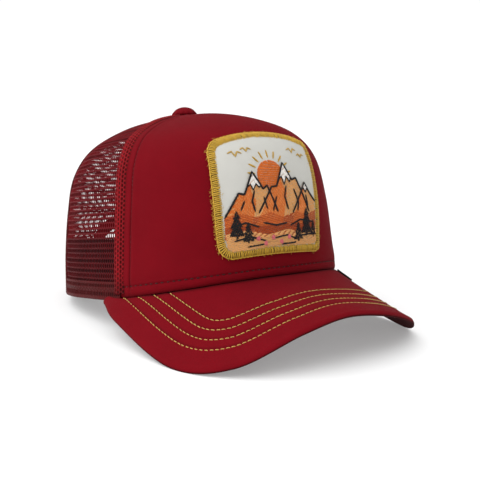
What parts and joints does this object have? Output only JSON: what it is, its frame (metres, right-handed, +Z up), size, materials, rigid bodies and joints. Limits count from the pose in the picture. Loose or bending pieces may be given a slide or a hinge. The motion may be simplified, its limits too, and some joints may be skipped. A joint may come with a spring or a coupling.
{
  "type": "trucker cap",
  "caption": "Trucker cap with a padded cloth front, net sides and back, a curved visor, a top button, a snap strap and an embroidered front patch.",
  "frame": {"origin": "centre of the cap's box on the surface that the cap stands on", "axes": "+Z up, -Y the way the visor points, +X the wearer's left; the cap is tipped back as it rests by itself"},
  "size_m": [0.1878, 0.2666, 0.1393],
  "materials": {
    "crimson_cloth": "plain woven cotton over a stiff foam backing, dull",
    "crimson_visor_cloth": "plain woven cotton stretched over a stiff board, dull",
    "crimson_net": "open knitted net, slightly shiny threads",
    "crimson_tape": "net doubled over cloth, sewn down",
    "black_cloth": "soft woven sweatband",
    "black_plastic": "bendable moulded plastic, satin",
    "patch_cloth": "white twill with embroidery",
    "gold_thread": "rayon thread, soft shine",
    "khaki_thread": "sewing thread, dull",
    "label_cloth": "tightly woven label"
  },
  "bodies": {
    "root": {"front_panel": "crimson_cloth", "net_side_right": "crimson_net", "net_side_left": "crimson_net", "net_back_right": "crimson_net", "net_back_left": "crimson_net", "seam_strip_right": "crimson_tape", "seam_strip_left": "crimson_tape", "top_button": "crimson_cloth", "visor": "crimson_visor_cloth", "sweatband": "black_cloth", "arch_binding": "crimson_cloth", "strap_with_holes": "black_plastic", "strap_with_pegs": "black_plastic", "patch_ground": "patch_cloth", "patch_border": "gold_thread", "side_label": "label_cloth"}
  },
  "joints": []
}
